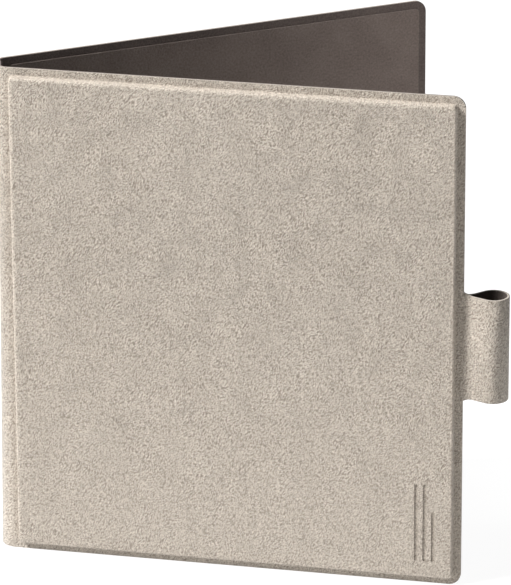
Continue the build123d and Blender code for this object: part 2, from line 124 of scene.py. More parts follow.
def new_material(name, base, roughness, metallic=0.0):
    """A material with one Principled shader, and that shader with its node tree."""
    material = bpy.data.materials.new(name)
    material.use_nodes = True
    shader = material.node_tree.nodes["Principled BSDF"]
    shader.inputs["Base Color"].default_value = linear(base)
    shader.inputs["Roughness"].default_value = roughness
    shader.inputs["Metallic"].default_value = metallic
    return material, material.node_tree, shader


def outline_blank(bm, rim_level, panel_level, soft_edge):
    """A flat sheet whose middle is stepped up or down inside a rim, with soft edges to the step."""
    bmesh.ops.create_grid(bm, x_segments=1, y_segments=1, size=0.5)
    length = cover_reach - blank_start
    bmesh.ops.scale(bm, vec=(length, cover_height, 1), verts=bm.verts)
    bmesh.ops.translate(
        bm, vec=(blank_start + length / 2, cover_height / 2, rim_level), verts=bm.verts
    )
    free_corners = [v for v in bm.verts if v.co.x > cover_reach / 2]
    bmesh.ops.bevel(
        bm,
        geom=free_corners,
        offset=case_corner,
        segments=10,
        profile=0.5,
        affect="VERTICES",
        material=-1,
    )
    panel = bm.faces[:]
    bmesh.ops.inset_region(
        bm, faces=panel, thickness=rim_width, use_boundary=True, use_even_offset=True
    )
    near_spine = [v for v in panel[0].verts if v.co.x < cover_reach / 2]
    for vertex in near_spine:
        vertex.co.x = spine_rim
    raised = bmesh.ops.extrude_discrete_faces(bm, faces=panel)["faces"]
    bmesh.ops.translate(bm, vec=(0, 0, panel_level - rim_level), verts=raised[0].verts)
    step_corners = [
        e for e in bm.edges
        if abs(e.verts[0].co.z - e.verts[1].co.z) > abs(panel_level - rim_level) / 2
        and e.verts[0].co.x < cover_reach / 2
    ]
    bmesh.ops.bevel(
        bm,
        geom=step_corners,
        offset=panel_corner,
        segments=6,
        profile=0.5,
        affect="EDGES",
        material=-1,
    )
    walls = [f for f in bm.faces if abs(f.normal.z) < 0.5]
    step_edges = {
        e for f in walls for e in f.edges
        if abs(e.verts[0].co.z - e.verts[1].co.z) < 0.01 * MM
    }
    bmesh.ops.bevel(
        bm,
        geom=list(step_edges),
        offset=soft_edge,
        segments=5,
        profile=0.5,
        affect="EDGES",
        material=-1,
    )


def press_lines(bm):
    """Presses the mark into the raised panel: three round-ended lines beside the free edge."""
    top = panel_rise + flange_half
    depth = 0.35 * MM
    line_width = 1.1 * MM
    pitch = 2.7 * MM
    first = cover_reach - 14.5 * MM
    foot = 8.0 * MM
    lengths = (26 * MM, 26 * MM, 17 * MM)

    def on_panel():
        return [f for f in bm.faces if abs(f.calc_center_median().z - top) < 0.001 * MM]

    def cut(point, normal):
        faces = on_panel()
        edges = {e for f in faces for e in f.edges}
        verts = {v for f in faces for v in f.verts}
        bmesh.ops.bisect_plane(
            bm, geom=[*faces, *edges, *verts], dist=same_place, plane_co=point, plane_no=normal
        )

    for side in [first + i * pitch + half for i in range(3) for half in (0, line_width)]:
        cut((side, 0, 0), (1, 0, 0))
    for end in (foot, foot + lengths[2], foot + lengths[0]):
        cut((0, end, 0), (0, 1, 0))
    for line, length in enumerate(lengths):
        left = first + line * pitch
        cells = [
            f for f in on_panel()
            if left < f.calc_center_median().x < left + line_width
            and foot < f.calc_center_median().y < foot + length
        ]
        bar = bmesh.ops.dissolve_faces(bm, faces=cells)["region"] or cells
        pressed = bmesh.ops.extrude_discrete_faces(bm, faces=bar)["faces"][0]
        bmesh.ops.translate(bm, vec=(0, 0, -depth), verts=pressed.verts)
        ends = [
            v for v in pressed.verts
            if min(abs(v.co.y - foot), abs(v.co.y - foot - length)) < depth
        ]
        corners = [e for v in ends for e in v.link_edges if e.calc_length() < depth * 1.1]
        bmesh.ops.bevel(
            bm,
            geom=corners,
            offset=line_width * 0.49,
            segments=5,
            profile=0.5,
            affect="EDGES",
            material=-1,
        )


def fold_blank(bm, cover):
    """Bends the flat sheet round the fold line and stands it in its cover's place."""
    origin, along, outward = covers[cover]
    for vertex in bm.verts:
        u, up, w = vertex.co
        if u < fold_start:
            run = fold_start - u
            turn = min(run / fold_radius, fold_turn)
            past = max(run - fold_radius * fold_turn, 0)
            x = fold_start - (fold_radius + w) * sin(turn) - past * cos(fold_turn)
            inward = fold_radius - (fold_radius + w) * cos(turn) + past * sin(fold_turn)
        else:
            x, inward = u, -w
        vertex.co = origin + along * x - outward * inward + Vector((0, 0, up))
        bow = spine_bow[0] + (spine_bow[1] - spine_bow[0]) * (1 - up / cover_height) ** bow_curve
        reach = min(max((fold_start - u) / (fold_start - blank_start), 0), 1)
        vertex.co += spine_out * bow * sin(reach * pi / 2) ** 2


def sheet_piece(name, cover, rim_level, panel_level, soft_edge, thick, marked=False):
    """One cover's half of a skin or lining, from its free edge to the middle of the spine."""
    bm = bmesh.new()
    outline_blank(bm, rim_level, panel_level, soft_edge)
    if marked:
        press_lines(bm)
    for cut in range(1, fold_cuts):
        place = blank_start + (fold_start - blank_start) * cut / fold_cuts
        bmesh.ops.bisect_plane(
            bm,
            geom=[*bm.verts, *bm.edges, *bm.faces],
            dist=same_place,
            plane_co=(place, 0, 0),
            plane_no=(1, 0, 0),
        )
    shown = bm.faces[:]
    bmesh.ops.recalc_face_normals(bm, faces=shown)
    if (shown[0].normal.z > 0) != (rim_level > 0):
        bmesh.ops.reverse_faces(bm, faces=shown)
    bmesh.ops.solidify(bm, geom=shown, thickness=thick)
    for face in bm.faces:
        levels = [v.co.z for v in face.verts]
        at_edge = abs(face.normal.z) < 0.3 and min(levels) < rim_level < max(levels) + thick / 4
        if rim_level > 0:
            face.material_index = 1 if at_edge else 0
        elif min(levels) > panel_level + 0.01 * MM:
            face.material_index = 1
        elif max(levels) > panel_level + 0.01 * MM:
            face.material_index = 2
    # The pattern lies on the sheet as it was before it was pressed over the panel's edges.
    blank_map = bm.loops.layers.uv.new("blank")
    for face in bm.faces:
        for loop in face.loops:
            place = loop.vert.co
            drop = abs(panel_level - place.z)
            loop[blank_map].uv = (
                place.x + copysign(drop, place.x - cover_reach / 2),
                place.y + copysign(drop, place.y - cover_height / 2),
            )
    fold_blank(bm, cover)
    bmesh.ops.recalc_face_normals(bm, faces=bm.faces)
    for face in bm.faces:
        face.smooth = True
    mesh = bpy.data.meshes.new(name)
    bm.to_mesh(mesh)
    bm.free()
    mesh.set_sharp_from_angle(angle=radians(38))
    piece = bpy.data.objects.new(name, mesh)
    bpy.context.scene.collection.objects.link(piece)
    weighted = piece.modifiers.new("even_shading", "WEIGHTED_NORMAL")
    weighted.keep_sharp = True
    return piece


def pu_leatherette(name, blank_map, panel_middle=(0, 0, 0), panel_half=(1000, 1000, 0)):
    """Polyurethane leather: a matt sand coat, embossed with fine strands that lean and swirl."""
    # Pattern sizes are in millimetres of the flat sheet.
    strand_width, strand_length, strand_lean = 0.25, 0.7, radians(-38)
    sway_by, sway_over = 2.0, 12
    patch_size = 8
    cloud_size = 45
    material, tree, shader = new_material(name, "#bcb1a5", 0.56)
    shader.inputs["Specular IOR Level"].default_value = 0.4
    shader.inputs["Sheen Weight"].default_value = 0.3
    shader.inputs["Sheen Roughness"].default_value = 0.4
    blank = node(tree, "ShaderNodeUVMap", uv_map=blank_map)
    in_mm = node(
        tree,
        "ShaderNodeVectorMath",
        {0: blank.outputs["UV"], 1: (1 / MM, 1 / MM, 1 / MM)},
        operation="MULTIPLY",
    )
    # The strands sway to either side, so that their direction swirls like real hide.
    drift = node(
        tree,
        "ShaderNodeTexNoise",
        {"Vector": in_mm.outputs[0], "Scale": 1 / sway_over, "Detail": 1.0},
    )
    sway = node(
        tree,
        "ShaderNodeVectorMath",
        {0: drift.outputs["Color"], 1: (sway_by * 2, sway_by * 2, 0.0)},
        operation="MULTIPLY",
    )
    bent = node(
        tree, "ShaderNodeVectorMath", {0: in_mm.outputs[0], 1: sway.outputs[0]}, operation="ADD"
    )
    leaning = node(
        tree,
        "ShaderNodeMapping",
        {
            "Vector": bent.outputs[0],
            "Rotation": (0, 0, strand_lean),
            "Scale": (strand_width, strand_length, 1),
        },
        vector_type="TEXTURE",
    )
    pebbles = node(
        tree,
        "ShaderNodeTexVoronoi",
        {"Vector": leaning.outputs[0], "Scale": 1.0, "Smoothness": 0.35},
        feature="SMOOTH_F1",
    )
    creases = node(
        tree, "ShaderNodeTexNoise", {"Vector": leaning.outputs[0], "Scale": 0.9, "Detail": 2.0}
    )
    height = node(
        tree,
        "ShaderNodeMath",
        {0: pebbles.outputs["Distance"], 1: -0.7, 2: creases.outputs["Fac"]},
        operation="MULTIPLY_ADD",
    )
    # The grain is worn shallower towards the lower edge, which stands on the table, and the coat
    # there is painted paler: painted light, as if lit from the floor below.
    axes = node(tree, "ShaderNodeSeparateXYZ", {"Vector": in_mm.outputs[0]})
    lower_wear_and_light = node(
        tree,
        "ShaderNodeMapRange",
        {"Value": axes.outputs["Y"], "From Min": 15, "From Max": 110, "To Min": 0.5, "To Max": 1.0},
    )
    # Over the raised panel's edge the coat is stretched smooth and paler: partly the stretched
    # coat's own paleness, partly a painted highlight along the edge.
    spot = node(
        tree, "ShaderNodeVectorMath", {0: in_mm.outputs[0], 1: panel_middle}, operation="SUBTRACT"
    )
    mirrored = node(tree, "ShaderNodeVectorMath", {0: spot.outputs[0]}, operation="ABSOLUTE")
    past = node(
        tree, "ShaderNodeVectorMath", {0: mirrored.outputs[0], 1: panel_half}, operation="SUBTRACT"
    )
    sides = node(tree, "ShaderNodeSeparateXYZ", {"Vector": past.outputs[0]})
    outer = node(
        tree, "ShaderNodeMath", {0: sides.outputs["X"], 1: sides.outputs["Y"]}, operation="MAXIMUM"
    )
    gap = node(tree, "ShaderNodeMath", {0: outer.outputs[0]}, operation="ABSOLUTE")
    stretch_and_highlight = node(
        tree,
        "ShaderNodeMapRange",
        {"Value": gap.outputs[0], "From Min": 1.3, "From Max": 1.9, "To Min": 0.1, "To Max": 1.0},
    )
    # Soft patches of the sheet are embossed deeper than the ones between them.
    patch = node(
        tree,
        "ShaderNodeTexNoise",
        {"Vector": in_mm.outputs[0], "Scale": 1 / patch_size, "Detail": 1.0},
    )
    depth = node(
        tree,
        "ShaderNodeMapRange",
        {
            "Value": patch.outputs["Fac"],
            "From Min": 0.38,
            "From Max": 0.62,
            "To Min": 0.75,
            "To Max": 1.0,
        },
    )
    for shallow in (lower_wear_and_light, stretch_and_highlight):
        depth = node(
            tree,
            "ShaderNodeMath",
            {0: depth.outputs[0], 1: shallow.outputs[0]},
            operation="MULTIPLY",
        )
    relief = node(
        tree, "ShaderNodeMath", {0: height.outputs[0], 1: depth.outputs[0]}, operation="MULTIPLY"
    )
    bump = node(
        tree,
        "ShaderNodeBump",
        {"Height": relief.outputs[0], "Strength": 1.0, "Distance": 0.75 * MM},
    )
    tree.links.new(bump.outputs["Normal"], shader.inputs["Normal"])
    # The grain's hollows are painted darker and its crowns paler: painted shade and light on the
    # relief, on top of the bump.
    tone = node(
        tree, "ShaderNodeMapRange", {"Value": height.outputs[0], "From Min": -0.1, "From Max": 0.45}
    )
    paint = node(
        tree,
        "ShaderNodeMix",
        {"Factor": tone.outputs[0], "A": linear("#85796c"), "B": linear("#ded3c5")},
        data_type="RGBA",
    )
    # The coat fades and darkens a little in broad soft clouds where hands rub it.
    cloud = node(
        tree,
        "ShaderNodeTexNoise",
        {"Vector": in_mm.outputs[0], "Scale": 1 / cloud_size, "Detail": 2.0},
    )
    wear_and_painted_light = node(
        tree,
        "ShaderNodeMapRange",
        {
            "Value": cloud.outputs["Fac"],
            "From Min": 0.3,
            "From Max": 0.7,
            "To Min": 0.0,
            "To Max": 0.08,
        },
    )
    # On top of the rubbed clouds the coat is made paler towards the lower edge, which is painted
    # light, and along the panel's edge, which is partly a painted highlight.
    for shallow, paleness in ((lower_wear_and_light, 0.2), (stretch_and_highlight, 0.1)):
        light_and_stretch_paleness = node(
            tree,
            "ShaderNodeMapRange",
            {"Value": shallow.outputs[0], "To Min": paleness, "To Max": 0.0},
        )
        wear_and_painted_light = node(
            tree, "ShaderNodeMath", {0: wear_and_painted_light.outputs[0], 1: light_and_stretch_paleness.outputs[0]}, operation="MAXIMUM"
        )
    coat = node(
        tree,
        "ShaderNodeMix",
        {"Factor": wear_and_painted_light.outputs[0], "A": paint.outputs["Result"], "B": linear("#dcd3c8")},
        data_type="RGBA",
    )
    tree.links.new(coat.outputs["Result"], shader.inputs["Base Color"])
    gloss = node(
        tree,
        "ShaderNodeMapRange",
        {
            "Value": creases.outputs["Fac"],
            "From Min": 0.3,
            "From Max": 0.7,
            "To Min": 0.66,
            "To Max": 0.5,
        },
    )
    tree.links.new(gloss.outputs[0], shader.inputs["Roughness"])
    return material


def cut_edge():
    """The cut edge of the laminate: a pale foam core with short fibres, a little furry."""
    material, tree, shader = new_material("laminate_cut_edge", "#b9b0a6", 0.8)
    fibres_per_metre = 2600
    place = node(tree, "ShaderNodeTexCoord")
    fuzz = node(
        tree,
        "ShaderNodeTexNoise",
        {"Vector": place.outputs["Object"], "Scale": fibres_per_metre, "Detail": 3.0},
    )
    paint = node(
        tree,
        "ShaderNodeMix",
        {"Factor": fuzz.outputs["Fac"], "A": linear("#a69c91"), "B": linear("#cbc3b9")},
        data_type="RGBA",
    )
    tree.links.new(paint.outputs["Result"], shader.inputs["Base Color"])
    bump = node(
        tree,
        "ShaderNodeBump",
        {"Height": fuzz.outputs["Fac"], "Strength": 0.5, "Distance": 0.1 * MM},
    )
    tree.links.new(bump.outputs["Normal"], shader.inputs["Normal"])
    return material


panel_span = (spine_rim, cover_reach - rim_width)
# The stretched band runs down the panel's wall, just outside the panel's flat top.
band_out = 0.6
leatherette = pu_leatherette(
    "pu_leatherette_sand",
    "blank",
    (sum(panel_span) / 2 / MM, cover_height / 2 / MM, 0),
    (
        (panel_span[1] - panel_span[0]) / 2 / MM + band_out,
        (cover_height / 2 - rim_width) / MM + band_out,
        0,
    ),
)
pale_edge = cut_edge()
for cover in covers:
    skin = sheet_piece(
        f"{cover}_leather",
        cover,
        flange_half,
        flange_half + panel_rise,
        0.6 * MM,
        skin_thick,
        marked=cover == "back",
    )
    skin.data.materials.append(leatherette)
    skin.data.materials.append(pale_edge)
    if cover == "back":
        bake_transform(skin)
    else:
        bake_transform(skin)
    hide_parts(f"{cover}_skin", "spine_skin")

# ---------------------------------------------------------------------------------------------
# Lining. A dark microfibre sheet is glued over the inside of both covers and the spine. It lies a
# little lower round the edge, where there is no board behind it, and is cut flush with the skin.
# ---------------------------------------------------------------------------------------------
lining_thick = 0.4 * MM
lining_step = 0.25 * MM


def microfibre(name, low, high, sheet_map="blank"):
    """Brushed microfibre: a very matt warm grey-brown whose short fibres lie different ways."""
    material, tree, shader = new_material(name, low, 0.92)
    # Pattern sizes are in millimetres of the flat sheet.
    fibres_per_mm = 1.5
    brushed_over = 14
    shader.inputs["Sheen Weight"].default_value = 0.15
    shader.inputs["Sheen Roughness"].default_value = 0.5
    blank = node(tree, "ShaderNodeUVMap", uv_map=sheet_map)
    in_mm = node(
        tree,
        "ShaderNodeVectorMath",
        {0: blank.outputs["UV"], 1: (1 / MM, 1 / MM, 1 / MM)},
        operation="MULTIPLY",
    )
    fibres = node(
        tree,
        "ShaderNodeTexNoise",
        {"Vector": in_mm.outputs[0], "Scale": fibres_per_mm, "Detail": 5.0},
    )
    brushed = node(
        tree,
        "ShaderNodeTexNoise",
        {"Vector": in_mm.outputs[0], "Scale": 1 / brushed_over, "Detail": 2.0},
    )
    both = node(
        tree,
        "ShaderNodeMath",
        {0: brushed.outputs["Fac"], 1: 0.5, 2: fibres.outputs["Fac"]},
        operation="MULTIPLY_ADD",
    )
    tone = node(
        tree, "ShaderNodeMapRange", {"Value": both.outputs[0], "From Min": 0.5, "From Max": 1.0}
    )
    paint = node(
        tree,
        "ShaderNodeMix",
        {"Factor": tone.outputs[0], "A": linear(low), "B": linear(high)},
        data_type="RGBA",
    )
    tree.links.new(paint.outputs["Result"], shader.inputs["Base Color"])
    bump = node(
        tree,
        "ShaderNodeBump",
        {"Height": fibres.outputs["Fac"], "Strength": 0.8, "Distance": 0.3 * MM},
    )
    tree.links.new(bump.outputs["Normal"], shader.inputs["Normal"])
    return material


lining_cloth = microfibre("brushed_microfibre_brown", "#82736c", "#a3938a")
# The lining is coloured darker round its rim.
darker_rim_cloth = microfibre("darker_microfibre_rim", "#6a5d58", "#887a73")
# Along the step between the rim and the middle the lining is coloured paler, in a thin line.
paler_line_cloth = microfibre("paler_microfibre_line", "#a1938b", "#bfb1a8")
for cover in covers:
    lining = sheet_piece(
        f"{cover}_lining_sheet",
        cover,
        -flange_half + lining_step,
        -flange_half,
        0.12 * MM,
        lining_thick,
    )
    lining.data.materials.append(lining_cloth)
    lining.data.materials.append(darker_rim_cloth)
    lining.data.materials.append(paler_line_cloth)
    if cover == "back":
        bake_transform(lining)
    else:
        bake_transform(lining)
    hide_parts(f"{cover}_lining", "spine_lining")

# ---------------------------------------------------------------------------------------------
# Pen loop. A strap of the same leatherette, lined with the same microfibre, is bent into a drop
# shape round a stylus. Its two ends meet in a neck that is glued between the cover's layers.
# ---------------------------------------------------------------------------------------------
loop_low, loop_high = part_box("pen_loop")
loop_radius = 4.9 * MM
strap_thick = 0.8 * MM
loop_centre = Vector((loop_high.x - loop_radius, back_fold.y + 1.6 * MM, 0))
neck_start = back_fold.x + cover_reach - 0.4 * MM
neck_end = back_fold.x + cover_reach + 1.1 * MM
neck_half = 0.42 * MM
flare_reach = 3.6 * MM
flare_rise = 1.2 * MM
# How far round the loop the strap runs, used to carry its pattern on along the second straight.
pattern_turn = 4.5


def tangent_angle(side):
    """Where a line from the neck's end touches the loop's circle, as an angle round its centre."""
    away = Vector((neck_end, back_fold.y + side * neck_half, 0)) - loop_centre
    return atan2(away.y, away.x) - side * acos(loop_radius / away.length)


def upright(geom):
    """The one upright edge among the parts that an operator made."""
    edges = [g for g in geom if isinstance(g, bmesh.types.BMEdge)]
    return next(e for e in edges if (e.verts[0].co - e.verts[1].co).xy.length < same_place)


def run_straight(bm, edge, stop):
    """Draws the strap's leading edge out flat to a point, and returns it there."""
    drawn = upright(bmesh.ops.extrude_edge_only(bm, edges=[edge])["geom"])
    step = stop - drawn.verts[0].co
    bmesh.ops.translate(bm, vec=(step.x, step.y, 0), verts=drawn.verts[:])
    return drawn


front_touch, back_touch = tangent_angle(-1), tangent_angle(1)
bm = bmesh.new()
ends = [bm.verts.new((neck_start, back_fold.y - neck_half, z)) for z in (loop_low.z, loop_high.z)]
lead = bm.edges.new(ends)
lead = run_straight(bm, lead, Vector((neck_end, back_fold.y - neck_half, 0)))
touch = loop_centre + Vector((cos(front_touch), sin(front_touch), 0)) * loop_radius
lead = run_straight(bm, lead, touch)
turned = bmesh.ops.spin(
    bm,
    geom=[lead, *lead.verts],
    cent=loop_centre,
    axis=(0, 0, 1),
    angle=(back_touch - front_touch) % (2 * pi),
    steps=40,
)
lead = upright(turned["geom_last"])
lead = run_straight(bm, lead, Vector((neck_end, back_fold.y + neck_half, 0)))
lead = run_straight(bm, lead, Vector((neck_start, back_fold.y + neck_half, 0)))
flare_cuts = 12
flare_pitch = 0.5 * MM
for cut in range(1, flare_cuts):
    bmesh.ops.bisect_plane(
        bm,
        geom=[*bm.verts, *bm.edges, *bm.faces],
        dist=same_place,
        plane_co=(neck_start + flare_pitch * cut, 0, 0),
        plane_no=(1, 0, 0),
    )
bmesh.ops.remove_doubles(bm, verts=bm.verts, dist=1e-6)
middle = (loop_low.z + loop_high.z) / 2
for vertex in bm.verts:
    near = max(0, 1 - (vertex.co.x - neck_start) / flare_reach)
    vertex.co.z += flare_rise * near**2 * (1 if vertex.co.z > middle else -1)
bmesh.ops.recalc_face_normals(bm, faces=bm.faces)
far = max(bm.faces, key=lambda f: f.calc_center_median().x)
if far.normal.x < 0:
    bmesh.ops.reverse_faces(bm, faces=bm.faces)
strap_map = bm.loops.layers.uv.new("strap")
touch_x = touch.x - loop_centre.x
# A point just short of where the loop starts belongs to its start, not a full turn on.
slop = 0.05
for face in bm.faces:
    in_front = face.calc_center_median().y < loop_centre.y
    for loop in face.loops:
        place = loop.vert.co - loop_centre
        if place.x < touch_x - 0.01 * MM:
            run = place.x if in_front else 2 * touch_x + loop_radius * pattern_turn - place.x
        else:
            turn = (atan2(place.y, place.x) - front_touch + slop) % (2 * pi) - slop
            run = touch_x + turn * loop_radius
        loop[strap_map].uv = (run, place.z)
outer = set(bm.faces)
bmesh.ops.solidify(bm, geom=bm.faces[:], thickness=strap_thick)
bm.faces.ensure_lookup_table()
for face in bm.faces:
    face.smooth = True
    if abs(face.normal.z) > 0.5:
        face.material_index = 2
    elif face not in outer:
        face.material_index = 1
rims = [
    e for e in bm.edges
    if any(abs(f.normal.z) > 0.5 for f in e.link_faces) and e.calc_face_angle(0) > 1
]
bmesh.ops.bevel(
    bm, geom=rims, offset=0.18 * MM, segments=2, profile=0.5, affect="EDGES", material=-1
)
bmesh.ops.recalc_face_normals(bm, faces=bm.faces)
mesh = bpy.data.meshes.new("pen_loop_strap")
bm.to_mesh(mesh)
bm.free()
mesh.set_sharp_from_angle(angle=radians(50))
strap = bpy.data.objects.new("pen_loop_strap", mesh)
bpy.context.scene.collection.objects.link(strap)
strap.data.materials.append(pu_leatherette("pu_leatherette_strap", "strap"))
# The strap's lining is the same microfibre coloured far darker than the case's lining: painted
# shade inside the loop.
strap.data.materials.append(microfibre("strap_lining_painted_shade", "#4a423f", "#62574f", "strap"))
strap.data.materials.append(pale_edge)
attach(strap, "back_cover")
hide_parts("pen_loop")

# ---------------------------------------------------------------------------------------------
# Boards and magnets. Each cover is stiffened by dense grey board, with pockets cut for
# nickel-plated magnets: bars that hold the reader, and discs that hold the case shut.
# ---------------------------------------------------------------------------------------------


def speckled(name, low, high, grain, roughness, relief, metallic=0.0, stretch=(1, 1, 1)):
    """A finish whose colour and surface vary over one size of grain, given in metres."""
    material, tree, shader = new_material(name, low, roughness, metallic)
    place = node(tree, "ShaderNodeTexCoord")
    turned = node(tree, "ShaderNodeMapping", {"Vector": place.outputs["Object"], "Scale": stretch})
    grains = node(
        tree,
        "ShaderNodeTexNoise",
        {"Vector": turned.outputs[0], "Scale": 0.5 / grain, "Detail": 4.0},
    )
    cloud = node(
        tree,
        "ShaderNodeTexNoise",
        {"Vector": place.outputs["Object"], "Scale": 0.03 / grain, "Detail": 2.0},
    )
    both = node(
        tree,
        "ShaderNodeMath",
        {0: cloud.outputs["Fac"], 1: 0.6, 2: grains.outputs["Fac"]},
        operation="MULTIPLY_ADD",
    )
    tone = node(
        tree, "ShaderNodeMapRange", {"Value": both.outputs[0], "From Min": 0.55, "From Max": 1.05}
    )
    paint = node(
        tree,
        "ShaderNodeMix",
        {"Factor": tone.outputs[0], "A": linear(low), "B": linear(high)},
        data_type="RGBA",
    )
    tree.links.new(paint.outputs["Result"], shader.inputs["Base Color"])
    gloss = node(
        tree,
        "ShaderNodeMapRange",
        {
            "Value": cloud.outputs["Fac"],
            "From Min": 0.3,
            "From Max": 0.7,
            "To Min": roughness - 0.06,
            "To Max": roughness + 0.06,
        },
    )
    tree.links.new(gloss.outputs[0], shader.inputs["Roughness"])
    bump = node(
        tree,
        "ShaderNodeBump",
        {"Height": grains.outputs["Fac"], "Strength": 0.7, "Distance": relief},
    )
    tree.links.new(bump.outputs["Normal"], shader.inputs["Normal"])
    return material


def finish_nodes(material, *names):
    """Gives CAD nodes their finish, in the material slots they already have."""
    for name in names:
        for holder in bpy.data.objects[name].material_slots:
            holder.material = material


# Bookbinder's greyboard: pressed waste paper with flecks about 0.6 mm long.
greyboard = speckled("greyboard", "#837f78", "#a29d94", 0.6 * MM, 0.9, 0.08 * MM)
finish_nodes(greyboard, "back_board", "front_board")
# Neodymium magnets with bright nickel plating and the tumbling marks of bulk plating.
nickel = speckled("nickel_plating", "#b9b6ae", "#d6d3cb", 0.5 * MM, 0.28, 0.01 * MM, 1.0)
finish_nodes(nickel, "back_magnets", "front_magnets", "reader_magnets", "closing_magnets")

# ---------------------------------------------------------------------------------------------
# Reader's outer parts. The shell, front frame and keys are moulded in black polycarbonate with a
# fine eroded texture, and a cast magnesium frame stiffens them. Six screws hold the shell.
# ---------------------------------------------------------------------------------------------
# Moulded polycarbonate: spark-eroded grain about 0.25 mm across, drawn twice as coarse so it shows.
shell_plastic = speckled("moulded_polycarbonate", "#1f2022", "#2b2c2e", 0.5 * MM, 0.55, 0.05 * MM)
finish_nodes(shell_plastic, "rear_shell", "front_bezel")
# The keys are the same plastic from a finer tool, so they are a little smoother.
key_plastic = speckled("key_polycarbonate", "#242527", "#303134", 0.35 * MM, 0.42, 0.02 * MM)
finish_nodes(key_plastic, "page_up_key", "page_down_key", "power_key")
# Thixomoulded magnesium: a grey skin with flow marks a little over 1 mm across.
magnesium = speckled("cast_magnesium", "#77797b", "#95979a", 1.2 * MM, 0.5, 0.03 * MM, 1.0)
finish_nodes(magnesium, "mid_frame")
# Screws: blackened steel with fine tool marks, about 0.2 mm apart.
screw_steel = speckled("blackened_steel", "#2c2c2e", "#47474a", 0.2 * MM, 0.38, 0.01 * MM, 1.0)
finish_nodes(screw_steel, "case_screws")

# ---------------------------------------------------------------------------------------------
# Screen. A hard front lens, touch film and light guide lie over the electronic paper, whose page
# shows rows of grey type. A frame of black foam tape seals the edge, and a flex joins the board.
# ---------------------------------------------------------------------------------------------
page_low, page_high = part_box("epaper_panel")


def clear_layer(name, tint, alpha, roughness):
    """A clear sheet: it is drawn with a low alpha, and fine wipe marks vary its gloss."""
    material, tree, shader = new_material(name, tint, roughness)
    shader.inputs["Alpha"].default_value = alpha
    place = node(tree, "ShaderNodeTexCoord")
    wiped = node(
        tree, "ShaderNodeMapping", {"Vector": place.outputs["Object"], "Scale": (60, 60, 400)}
    )
    marks = node(
        tree, "ShaderNodeTexNoise", {"Vector": wiped.outputs[0], "Scale": 1.0, "Detail": 4.0}
    )
    gloss = node(
        tree,
        "ShaderNodeMapRange",
        {"Value": marks.outputs["Fac"], "To Min": roughness, "To Max": roughness + 0.1},
    )
    tree.links.new(gloss.outputs[0], shader.inputs["Roughness"])
    return material


# Chemically hardened glass with an etched, reflection-cutting surface.
finish_nodes(clear_layer("etched_glass", "#e9edee", 0.06, 0.3), "front_lens")
finish_nodes(clear_layer("clear_acrylic", "#eef0ee", 0.03, 0.2), "touch_film", "light_guide")


